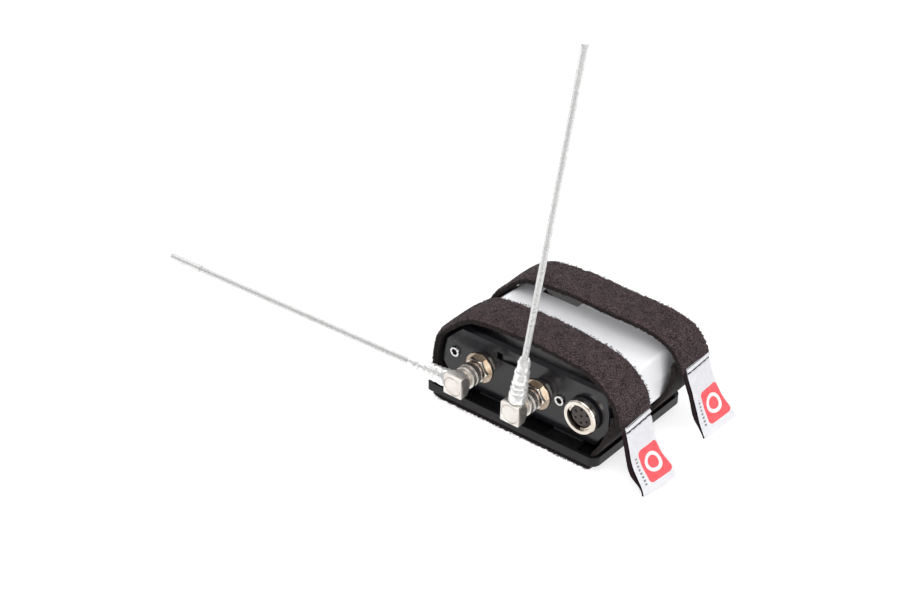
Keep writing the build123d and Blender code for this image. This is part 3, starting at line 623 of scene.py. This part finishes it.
def yarn_loops(name, which, ribbon, y0, on_face, on_edges):
    """Loose loops of yarn on the strap's outer face and along both of its edges."""
    count = on_face + on_edges
    s = RANDOM.uniform(HOOK_LENGTH + 0.5, ribbon.length - 1.0, count)
    v = RANDOM.uniform(0.3, STRAP_WIDTH - 0.3, count)
    at_edge = np.arange(count) >= on_face
    side = RANDOM.choice([-1.0, 1.0], count)
    v = np.where(at_edge, np.where(side < 0, 0.0, STRAP_WIDTH), v)
    across, out = strap_shape(which, ribbon, s, v)
    tilt = np.where(at_edge, RANDOM.uniform(10, 100, count), RANDOM.normal(0, 35, count))
    tilt = np.radians(np.where(at_edge, tilt * side, tilt))
    reach = np.where(at_edge, RANDOM.uniform(0.25, 0.62, count), RANDOM.uniform(0.12, 0.32, count))
    spread = RANDOM.uniform(0.16, 0.36, count)
    turn = RANDOM.uniform(0, np.pi, count)
    root_y = y0 + v + across
    root_h = STRAP_HALF * np.where(at_edge, RANDOM.uniform(-0.6, 0.9, count), 0.9) + out
    z = np.interp(s, ribbon.s, ribbon.centre[:, 1])
    squeezed = smooth_step(5.0, 9.0, z)
    reach = reach * np.where(at_edge, 0.6 + 0.4 * squeezed, 0.3 + 0.7 * squeezed)
    steps = 6
    t = np.linspace(0, 1, steps)
    arch = np.sin(np.pi * t)
    sway = np.cos(np.pi * t) * 0.5
    along = spread[:, None] * sway * np.cos(turn)[:, None]
    sideways = spread[:, None] * sway * np.sin(turn)[:, None]
    lift = reach[:, None] * arch
    height = root_h[:, None] + lift * np.cos(tilt)[:, None]
    depth = root_y[:, None] + sideways + lift * np.sin(tilt)[:, None]
    points, faces = tubes(ribbon.at(s[:, None] + along, depth, height), YARN_RADIUS, 3)
    return piece(name, points, faces, ROOT, [LOOP_YARN])


# The left and right edges of the pull tabs as they hang: x, y and z from root to tip.
TAB_EDGES = {
    "front": (
        [(43.3, -22.1, 21.6), (44.4, -22.3, 18.6), (45.9, -22.6, 12.9), (47.9, -22.9, 8.1),
         (51.6, -23.2, 3.2), (52.8, -23.5, 0.7)],
        [(42.6, -8.7, 21.4), (44.3, -8.8, 18.2), (46.0, -9.1, 12.6), (49.0, -9.4, 8.2),
         (53.6, -9.7, 5.4), (55.4, -9.9, 2.6)],
    ),
    "rear": (
        [(44.5, 8.6, 27.8), (46.0, 8.6, 23.4), (48.4, 8.6, 16.8), (50.5, 8.5, 11.2),
         (52.6, 8.5, 7.0), (53.6, 8.5, 5.2)],
        [(44.0, 21.5, 27.6), (45.3, 21.5, 24.0), (47.6, 21.6, 18.0), (50.6, 21.6, 13.6),
         (54.3, 21.7, 10.6), (55.9, 21.7, 7.8)],
    ),
}


class Drape:
    """The sheet between a tab's two edge curves, with its outward normals."""

    def __init__(self, which, step=0.28):
        self.edges = [self.curve(np.array(edge, float)) for edge in TAB_EDGES[which]]
        self.length = sum(np.linalg.norm(np.diff(e, axis=0), axis=1).sum() for e in self.edges) / 2
        self.rows = int(self.length / step)

    def curve(self, corners):
        """A smooth line through the corners, evenly spaced, by Catmull-Rom pieces."""
        before = 2 * corners[0] - corners[1]
        after = 2 * corners[-1] - corners[-2]
        ends = np.concatenate([[before], corners, [after]])
        t = np.linspace(0, 1, 24, endpoint=False)[:, None]
        line = []
        for a, b, c, d in zip(ends, ends[1:], ends[2:], ends[3:]):
            square = 2 * a - 5 * b + 4 * c - d
            cube = 3 * (b - c) + d - a
            line.append(b + 0.5 * t * (c - a + t * (square + t * cube)))
        line = np.concatenate(line + [corners[-1:]])
        run = np.concatenate([[0], np.cumsum(np.linalg.norm(np.diff(line, axis=0), axis=1))])
        even = np.linspace(0, run[-1], 400)
        return np.stack([np.interp(even, run, line[:, k]) for k in range(3)], axis=1)

    def on_edge(self, edge, t):
        place = np.clip(t, 0, 1) * (len(edge) - 1)
        index = np.arange(len(edge))
        return np.stack([np.interp(place, index, edge[:, k]) for k in range(3)], axis=-1)

    def at(self, u, t, out):
        """Points at u across (0 left, 1 right) and t along, out millimetres off the sheet."""
        u, t, out = np.broadcast_arrays(u, t, out)
        left, right = (self.on_edge(edge, t) for edge in self.edges)
        ahead = [self.on_edge(e, t + 0.02) - self.on_edge(e, t - 0.02) for e in self.edges]
        share = (u * u * (3 - 2 * np.clip(u, 0, 1)) * 0.5 + u * 0.5)[..., None]
        point = left * (1 - share) + right * share
        point[..., 1] = left[..., 1] * (1 - u) + right[..., 1] * u
        run = ahead[0] * (1 - share) + ahead[1] * share
        normal = np.stack([-run[..., 2], run[..., 1] * 0, run[..., 0]], axis=-1)
        normal /= np.linalg.norm(normal, axis=-1)[..., None]
        belly = 0.35 * np.sin(np.pi * np.clip(t * 1.2, 0, 1)) * np.sin(np.pi * np.clip(u, 0, 1))
        return point + normal * (out + belly)[..., None]


LABEL_WIDTH = 13.4
STITCH_LINE = 1.75  # distance of the stitches from the label's top edge
TAB_BEHIND = -0.75  # how far the tab's middle lies behind the label's sheet
LABEL_OUT = -0.10  # how far the label's middle lies out of its sheet
GROOVE_DEPTH = 0.32  # how far the stitches pull the label in


def pull_tab(which):
    """The tab's black webbing, behind its label and standing out past the label's left edge."""
    drape = Drape(which)
    width = STRAP_WIDTH - 0.6
    v, h, nv, nh = section(width, 0.42, 0.5)
    t, v_grid = np.meshgrid(np.linspace(0.045, 0.995, drape.rows), v, indexing="ij")
    left = 1 - smooth_step(0.0, 4.5, v_grid)
    bulge = np.sin(np.pi * np.clip(t * 1.25, 0, 1)) + 0.35 * np.sin(2 * np.pi * (t * 1.7 + 0.1))
    wander = left * (bulge - 0.75)
    u = (v_grid - 1.25 - wander) / LABEL_WIDTH
    rough = 0.05 * value_noise(t * drape.length / 0.6, v_grid / 0.6, 300 + len(which))
    out = TAB_BEHIND + (h + nh * rough) * (1.0 - 0.4 * t)
    points = drape.at(u, t, out)
    points[..., 1] += nv * rough
    points = points.reshape(-1, 3)
    name = f"{which}_tab_webbing"
    obj = piece(name, points, strip_faces(*t.shape), f"{which}_tab", [TAB_BLACK])
    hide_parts(f"{which}_pull_tab")
    return drape


def label(which, drape):
    """The woven label: a thin ribbon with a rolled top edge, sewn on along a line under it."""
    v, h, _, nh = section(LABEL_WIDTH, 0.16, 0.3)
    t, v_grid = np.meshgrid(np.linspace(0, 1, drape.rows), v, indexing="ij")
    u = v_grid / LABEL_WIDTH
    s_grid = t * drape.length
    roll = 0.75 * np.clip(1 - ((s_grid - 0.62) / 0.72) ** 2, 0, 1) ** 0.5
    groove = -GROOVE_DEPTH * np.exp(-(((s_grid - STITCH_LINE) / 0.34) ** 2))
    ripple = 0.10 * value_noise(s_grid / 2.6, v_grid / 3.0, 7) * smooth_step(1.5, 4.0, s_grid)
    wave = 0.22 * value_noise(s_grid / 5.5, v_grid / 6.5, 12) * smooth_step(2.0, 6.0, s_grid)
    ripple = ripple + wave
    out = LABEL_OUT + h + (roll + groove) * (nh > 0) + ripple
    points = drape.at(u, t, out).reshape(-1, 3)
    cloth = label_material(f"{which}_label_cloth", LABEL_WIDTH, drape.length)
    name = f"{which}_woven_label"
    obj = piece(name, points, strip_faces(*t.shape), f"{which}_tab", [cloth])
    layer = obj.data.uv_layers.new(name="flat")
    flat = np.stack([u.reshape(-1), t.reshape(-1)], axis=1)
    index = np.zeros(len(obj.data.loops), np.int64)
    obj.data.loops.foreach_get("vertex_index", index)
    layer.data.foreach_set("uv", flat[index].astype(np.float32).reshape(-1))
    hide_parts(f"{which}_label")
    label_stitches(which, drape)


def label_stitches(which, drape):
    """A line of short dark stitches across the label, under its rolled edge."""
    lines = []
    pitch = 1.1
    for i in range(int(LABEL_WIDTH / pitch)):
        v = np.linspace(i * pitch + 0.2, i * pitch + 0.98, 7)
        t = np.full(7, (STITCH_LINE + 0.12 * math.sin(i * 2.3)) / drape.length)
        out = -0.1 + 0.16 - 0.25 + 0.20 * np.sin(np.linspace(0, math.pi, 7))
        lines.append(drape.at(v / LABEL_WIDTH, t, out))
    points, faces = tubes(lines, 0.24, 7)
    return piece(f"{which}_label_stitches", points, faces, f"{which}_tab", [STITCH])


for which in ("front", "rear"):
    strap_y0 = low(f"{which}_strap").y
    webbing, path = strap(which, strap_y0)
    loops = yarn_loops(f"{which}_strap_loops", which, path, strap_y0, FACE_LOOPS, EDGE_LOOPS)
    label(which, pull_tab(which))

# Antennas.

TURNS = [j for j in frame["joints"] if j["name"].endswith("antenna_turn")]
PIVOTS = {j["child"]: Vector(j["pos_m"]) / MM for j in TURNS}


def whip_frame(side):
    """The place of one whip, as a matrix from its own frame (up the whip), and its length."""
    pivot = PIVOTS[f"{side}_antenna"]
    points = [v.co / MM - pivot for v in NODES[f"{side}_tip_sleeve"].data.vertices]
    reach = max(p.length for p in points)
    far = [p for p in points if p.length > reach - 1.0]
    axis = sum(far, Vector()).normalized()
    turn = Vector((0, 0, 1)).rotation_difference(axis).to_matrix().to_4x4()
    length = max(p.dot(axis) for p in points)
    return Matrix.Translation(pivot) @ turn, length


def turned(name, node, profile, turns, place, body, material, wobble=None, crease=60):
    """A revolved piece, put in its place, that takes a CAD node's place."""
    points, faces = revolved(profile, turns, wobble)
    obj = piece(name, moved(points, place), faces, body, [material], crease=crease)
    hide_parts(node)


# The boot's outline up from the elbow: radius and height.
BOOT_OUTSIDE = [
    (2.35, 3.80), (2.78, 3.95), (2.90, 4.6), (2.85, 6.9), (2.60, 7.4), (2.62, 7.9),
    (2.82, 8.4), (2.78, 9.0), (2.52, 9.4), (2.55, 9.9), (2.72, 10.3), (2.66, 10.9),
    (2.46, 11.3), (2.50, 12.3), (2.60, 12.9), (2.48, 13.6), (2.44, 15.4), (2.34, 15.8),
    (2.06, 16.1), (2.02, 17.2), (2.10, 18.0), (2.00, 19.2), (1.80, 20.0), (1.45, 20.5),
]
BOOT_INSIDE = [(1.14, 20.5), (1.14, 5.5), (1.95, 5.3), (1.95, 3.8)]


def refine_outline(outline, count):
    """The same outline with evenly spaced heights."""
    radii, heights = zip(*outline)
    fine = np.linspace(heights[0], heights[-1], count)
    return list(zip(np.interp(fine, heights, radii), fine))


def boot(side, place):
    """The boot: overlapping sleeves of clear plastic with lumps of sealant under them."""
    profile = refine_outline(BOOT_OUTSIDE, 90) + BOOT_INSIDE
    seed = 3.0 if side == "left" else 9.0

    def lumps(angle, height, radius):
        if radius < 1.4 or height >= 20.45:
            return 0.0
        where = Vector((math.cos(angle) * 1.6, math.sin(angle) * 1.6, height * 0.75 + seed))
        return 0.17 * noise.noise(where) + 0.06 * noise.noise(where * 2.7)

    node = f"{side}_boot"
    body = f"{side}_antenna"
    turned(f"{node}_shape", node, profile, 72, place, body, BOOT_CLEAR, lumps)


ROPE_LAY = 4.2  # length in which a strand goes once round
STRAND = 0.262  # a strand's radius


def rope(side, place, length):
    """The whip's steel rope: six strands laid round a core."""
    start, end = 2.0, length - 0.95
    count = int((end - start) / 0.36)
    heights = np.linspace(start, end, count)
    lines = []
    for i in range(6):
        angle = 2 * np.pi * (heights / ROPE_LAY + i / 6)
        x, y = 2 * STRAND * np.cos(angle), 2 * STRAND * np.sin(angle)
        lines.append(np.stack([x, y, heights], axis=1))
    lines.append(np.stack([heights * 0, heights * 0, heights], axis=1))
    points, faces = tubes(lines, STRAND, 7)
    points = moved(points, place)
    name = f"{side}_whip_rope"
    obj = piece(name, points, faces, f"{side}_antenna", [ROPE_STEEL], crease=60)
    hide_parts(f"{side}_whip_wire")


def sleeves(side, place, length):
    """The clear sleeve over the rope and the thicker one over its tip."""
    start, end = 5.35, length - 0.7
    profile = [(1.06, h) for h in np.linspace(start, end, int((end - start) / 0.19))]
    profile += [(0.86, h) for h in np.linspace(end, start, 60)]

    def ripple(angle, height):
        return 0.025 * noise.noise(Vector((math.cos(angle), math.sin(angle), height * 0.6)))

    def ridges(angle, height, radius):
        if radius < 1.0:
            return 0.0
        strands = math.cos(6 * angle - 12 * math.pi * height / ROPE_LAY)
        return ripple(angle, height) + 0.045 * strands

    def tip_ripple(angle, height, radius):
        return 0.5 * ripple(angle, height) if radius > 0.6 else 0.0

    body = f"{side}_antenna"
    node = f"{side}_whip_sleeve"
    turned(f"{node}_shape", node, profile, 36, place, body, SLEEVE_CLEAR, ridges)
    base = length - 15.0
    outside = [(1.22, base), (1.33, base + 0.25), (1.36, base + 1.2), (1.30, base + 4.0)]
    outside += [(1.33, base + 9.0), (1.30, length - 1.4), (1.22, length - 0.7)]
    outside += [(1.00, length - 0.22), (0.62, length - 0.02)]
    profile = refine_outline(outside, 60)
    profile += [(0.02, length), (0.02, length - 0.62), (1.125, length - 0.66), (1.125, base)]
    node = f"{side}_tip_sleeve"
    turned(f"{side}_tip_shape", node, profile, 36, place, body, TIP_CLEAR, tip_ripple)


def about_y(x, z):
    """A matrix that lays a revolved shape's axis along Y, through a point."""
    return Matrix.Translation((x, 0, z)) @ Matrix.Rotation(math.radians(-90), 4, "X")


NUT_TEETH = 34
KNURL_DEPTH = 0.26


def coupling_nut(side):
    """The nut: a smooth collar, a groove, and straight knurling next to the panel, with painted
    shade in the knurling's grooves.
    """
    node = f"{side}_coupling_nut"
    back, front = low(node).y, high(node).y
    middle = (low(node) + high(node)) / 2
    radius = (high(node).x - low(node).x) / 2
    collar = [(0.32, 0.0), (0.08, 0.14), (0.0, 0.36), (0.0, 1.42), (0.08, 1.50)]
    groove = [(0.30, 1.56), (0.30, 1.74), (0.08, 1.80), (0.0, 1.88), (0.0, 2.10)]
    rows = [(2.80, back)] + [(radius - r, back + h) for r, h in collar + groove]
    rows += [(radius - 0.14, back + 2.20), (radius, back + 2.32)]
    rows += [(radius, h) for h in np.linspace(back + 2.4, front - 0.30, 6)]
    rows += [(radius - 0.06, front - 0.22), (radius - 0.30, front), (3.23, front)]
    rows += [(3.23, back + 1.25), (2.80, back + 1.25)]
    turns = NUT_TEETH * 4

    def knurled(r, height):
        return r == radius and back + 2.35 < height < front - 0.28

    def knurl(angle, height, r):
        step = round(angle * turns / (2 * math.pi)) % 4
        return -KNURL_DEPTH if knurled(r, height) and step > 1 else 0.0

    points, faces = revolved(rows, turns, knurl)
    # The knurling's grooves take the dark steel: painted shade in the grooves.
    dark = [int(i % 4 in (1, 2) and knurled(*row)) for i in range(turns) for row in rows]
    shape = moved(points, about_y(middle.x, middle.z))
    metals = [NICKEL, THREAD_PAINTED_SHADE]
    obj = piece(f"{node}_shape", shape, faces, node, metals, dark, crease=35)
    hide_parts(node)


def socket_barrel(side):
    """The panel socket: a threaded barrel, bored for the plug, with a flange behind the panel, all
    of it in dark steel that is painted shade.
    """
    node = f"{side}_socket_body"
    front, back = low(node).y, high(node).y
    middle = (low(node) + high(node)) / 2
    flange = (high(node).x - low(node).x) / 2
    crest, root, pitch = 3.172, 2.93, 0.706
    rows = [(2.42, front), (2.85, front), (root, front + 0.2)]
    h = front + 0.35
    end = back - 1.5
    while h < end - pitch:
        rows += [(root, h), (crest, h + pitch * 0.42)]
        rows += [(crest, h + pitch * 0.58), (root, h + pitch)]
        h += pitch
    rows += [(root, end), (flange - 0.1, end), (flange, end + 0.1)]
    rows += [(flange, back - 0.1), (flange - 0.1, back), (2.42, back)]
    place = about_y(middle.x, middle.z)
    turned(f"{node}_shape", node, rows, 56, place, ROOT, THREAD_PAINTED_SHADE, crease=30)


BLOCK_HALF = 3.6
CAP_RADIUS = 3.2
# The blocks sit square to the panel; it is the whips that lean away from them.
SQUARE_TO = {"left": Vector((-1, 0, 0)), "right": Vector((0.02, 0, 1)).normalized()}


def square_radius(angle):
    """Distance from the middle of the square block to its side, its corners just broken."""
    side = BLOCK_HALF / max(abs(math.cos(angle)), abs(math.sin(angle)))
    return min(side, BLOCK_HALF * math.sqrt(2) - 0.16)


def elbow(side, whip_place):
    """The elbow: a square block turned conical at the back, and its round front cap."""
    body = f"{side}_elbow_body"
    pivot = PIVOTS[f"{side}_antenna"]
    up = SQUARE_TO[side]
    across = Vector((0, 1, 0)).cross(up)
    place = Matrix.Translation((pivot.x, 0, pivot.z)) @ Matrix(
        [(across.x, 0, up.x, 0), (0, 1, 0, 0), (across.z, 0, up.z, 0), (0, 0, 0, 1)]
    )
    front, back = low(body).y, high(body).y
    rows = [(front + 0.5, 0.05, 0), (front + 0.5, 3.3, 0), (front + 0.12, 3.3, 0), (front, 3.38, 0)]
    rows += [(front, 9, 0.24), (front + 0.05, 9, 0.09), (front + 0.24, 9, 0)]
    rows += [(front + 1.5, 9, 0), (front + 3.0, 5.2, 0)]
    rows += [(front + 3.0 + 2.15 * t, 5.2 - 2.15 * t, 0) for t in np.linspace(0.06, 1, 16)]
    rows += [(front + 6.0, r, 0) for r in (3.05, 2.75)]
    rows += [(back - 1.0, r, 0) for r in (2.75, 2.3)] + [(back, r, 0) for r in (2.3, 2.0)]
    rows += [(pivot.y, 2.0, 0), (pivot.y, 0.05, 0)]
    turns = 120
    angles = [2 * math.pi * (i + 0.5) / turns for i in range(turns)]
    points = []
    for y, limit, shrink in rows:
        for a in angles:
            r = min(limit, square_radius(a) - shrink)
            points.append((r * math.cos(a), y, r * math.sin(a)))
    faces = [f[::-1] for f in grid_faces(len(rows), turns, False, True)]
    faces.append(tuple(range(turns)))
    faces.append(tuple(range((len(rows) - 1) * turns, len(rows) * turns))[::-1])
    block = moved(np.array(points), place)
    sleeve = [(1.90, 2.6), (1.90, 5.05), (1.78, 5.2), (0.82, 5.2), (0.82, 2.6)]
    ferrule, ferrule_faces = revolved(sleeve, 40)
    faces += [tuple(i + len(points) for i in f) for f in ferrule_faces]
    both = np.concatenate([block, moved(ferrule, whip_place)])
    antenna = f"{side}_antenna"
    obj = piece(f"{body}_shape", both, faces, antenna, [NICKEL], crease=30)
    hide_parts(body)
    profile = [(0.02, front + 0.02), (1.6, front + 0.03), (2.8, front + 0.06)]
    profile += [(3.12, front + 0.09), (CAP_RADIUS, front + 0.17), (CAP_RADIUS, front + 0.5)]
    profile += [(0.02, front + 0.5)]
    cap = f"{side}_elbow_cap"
    at_cap = about_y(pivot.x, pivot.z)
    turned(f"{cap}_shape", cap, profile, 64, at_cap, antenna, NICKEL, crease=40)


for side in ("left", "right"):
    whip_place, whip_length = whip_frame(side)
    elbow(side, whip_place)
    boot(side, whip_place)
    rope(side, whip_place, whip_length)
    sleeves(side, whip_place, whip_length)
    coupling_nut(side)
    socket_barrel(side)
    refined(f"{side}_socket_nut", ROOT, BRIGHT_NICKEL, 0.12)
    refined(f"{side}_socket_washer", ROOT, WASHER_STEEL, 0.08)

# Housing and panel.

SCREW_HEAD = 1.75  # radius of the front screws' heads
SOCKET_REACH = 1.2  # radius that takes in a screw's hexagon socket
SOCKET_SHADE = 0.25  # how far into the head the painted shade begins


def in_screw_socket(point):
    """True for a point well inside the hexagon socket of either front screw."""
    a, b = low("front_screws"), high("front_screws")
    left = math.hypot(point.x - a.x - SCREW_HEAD, point.z - b.z + SCREW_HEAD)
    right = math.hypot(point.x - b.x + SCREW_HEAD, point.z - a.z - SCREW_HEAD)
    return point.y > a.y + SOCKET_SHADE and min(left, right) < SOCKET_REACH


refined("cradle_tray", ROOT, TRAY_BLACK, 0.28, 3)
refined("housing_sleeve", ROOT, SILVER, 0.10)
refined("front_end_cap", ROOT, PANEL_BLACK, 0.16)
refined("rear_end_cap", ROOT, PANEL_BLACK, 0.16)
screws = refined("front_screws", ROOT, STEEL, 0.10)
# The hexagon sockets get the dark steel: painted shade in the recess.
shade_inside(screws, in_screw_socket, SOCKET_PAINTED_SHADE)
refined("rear_screws", ROOT, STEEL, 0.14)
refined("audio_socket_shell", ROOT, BRIGHT_NICKEL, 0.10)
refined("audio_socket_insert", ROOT, INSERT_BROWN, 0.06)
refined("audio_socket_gasket", ROOT, RUBBER, 0.06)
refined("slide_switch_knob", "slide_switch", KNOB, 0.07)
refined("menu_up_button", "menu_up", RUBBER, 0.08)
refined("menu_down_button", "menu_down", RUBBER, 0.08)

CARRIED_OVER = {
    "thread_insert": BRASS,
    "seat_pads": RUBBER,
    "tie_pillars": ALUMINIUM,
    "main_board": BOARD_GREEN,
    "left_rf_shield": TIN,
    "right_rf_shield": TIN,
    "processor_chip": CHIP,
    "display_window": WINDOW_TINT,
    "display_module": DISPLAY,
    "button_switches": KNOB,
    "slide_switch_frame": KNOB,
    "audio_socket_contacts": GOLD,
    "audio_socket_nut": NICKEL,
}
for side in ("left", "right"):
    CARRIED_OVER[f"{side}_socket_insulator"] = PTFE
    CARRIED_OVER[f"{side}_socket_contact"] = GOLD
    CARRIED_OVER[f"{side}_elbow_insulator"] = PTFE
    CARRIED_OVER[f"{side}_elbow_pin"] = GOLD
for node, material in CARRIED_OVER.items():
    NODES[node].data.materials.clear()
    NODES[node].data.materials.append(material)

# Floor, light and camera.


# Metres in this part.
CAMERA_AZIMUTH = 38.88
CAMERA_ELEVATION = 33.26
CAMERA_ROLL = 0.49
CAMERA_PLACE = (0.3585, -0.4992, 0.4416)
LENS = 92.2
FLOOR_HALF = 2.4
WALL_FOOT = 1.6
WALL_CURVE = 0.6


def floor():
    """A broad pale floor that curves up into a backdrop far behind."""
    profile = [(-FLOOR_HALF, 0.0), (WALL_FOOT, 0.0)]
    for i in range(1, 13):
        angle = math.radians(90 * i / 12)
        y = WALL_FOOT + WALL_CURVE * math.sin(angle)
        profile.append((y, WALL_CURVE - WALL_CURVE * math.cos(angle)))
    profile.append((WALL_FOOT + WALL_CURVE, FLOOR_HALF))
    points = []
    for x in np.linspace(-FLOOR_HALF, FLOOR_HALF, 9):
        points += [(x, y, z - 0.0001) for y, z in profile]
    mesh = bpy.data.meshes.new("floor")
    faces = [f[::-1] for f in grid_faces(9, len(profile))]
    mesh.from_pydata(points, [], faces)
    mesh.shade_smooth()
    s = Surface("floor_paper", (0.42, 0.42, 0.42), Roughness=0.9, Emission_Strength=0.72)
    s.set("Emission Color", (1, 1, 1, 1))
    s.set("Specular IOR Level", 0.1)
    s.bump((s.noise(3.0, 2.0), 0.01))
    mesh.materials.append(s.material)
    obj = bpy.data.objects.new("floor", mesh)
    bpy.context.scene.collection.objects.link(obj)
    obj.rotation_euler = (0, 0, math.radians(CAMERA_AZIMUTH))


def put(obj, place, turn):
    """Links a light or camera at a place, turned by a quaternion."""
    bpy.context.scene.collection.objects.link(obj)
    obj.location = place
    obj.rotation_mode = "QUATERNION"
    obj.rotation_quaternion = turn


def area_light(name, place, target, size, power):
    """A soft box: metres, watts."""
    data = bpy.data.lights.new(name, "AREA")
    data.shape = "RECTANGLE"
    data.size, data.size_y = size
    data.energy = power
    ahead = Vector(target) - Vector(place)
    put(bpy.data.objects.new(name, data), place, ahead.to_track_quat("-Z", "Y"))


def camera():
    """The camera, above and to the right of the antenna panel."""
    data = bpy.data.cameras.new("camera")
    data.lens = LENS
    data.sensor_width = 36.0
    data.clip_start = 0.05
    data.clip_end = 20.0
    obj = bpy.data.objects.new("camera", data)
    a, e = math.radians(CAMERA_AZIMUTH), math.radians(CAMERA_ELEVATION)
    back = Vector((math.sin(a) * math.cos(e), -math.cos(a) * math.cos(e), math.sin(e)))
    roll = Quaternion((0, 0, 1), math.radians(CAMERA_ROLL))
    put(obj, CAMERA_PLACE, (-back).to_track_quat("-Z", "Y") @ roll)
    bpy.context.scene.camera = obj


floor()
area_light("top", (-0.25, 0.2, 1.3), (-0.1, 0.1, 0.0), (2.2, 1.7), 15)
area_light("side", (0.95, -0.50, 0.42), (0.02, 0.0, 0.02), (0.9, 0.6), 9)
area_light("front", (0.15, -0.65, 1.25), (0.0, 0.0, 0.02), (1.2, 0.9), 9)
world = bpy.data.worlds.new("studio")
bpy.context.scene.world = world
world.use_nodes = True
world.node_tree.nodes["Background"].inputs["Color"].default_value = (1, 1, 1, 1)
world.node_tree.nodes["Background"].inputs["Strength"].default_value = 0.42
bpy.context.scene.view_settings.view_transform = "Standard"
camera()
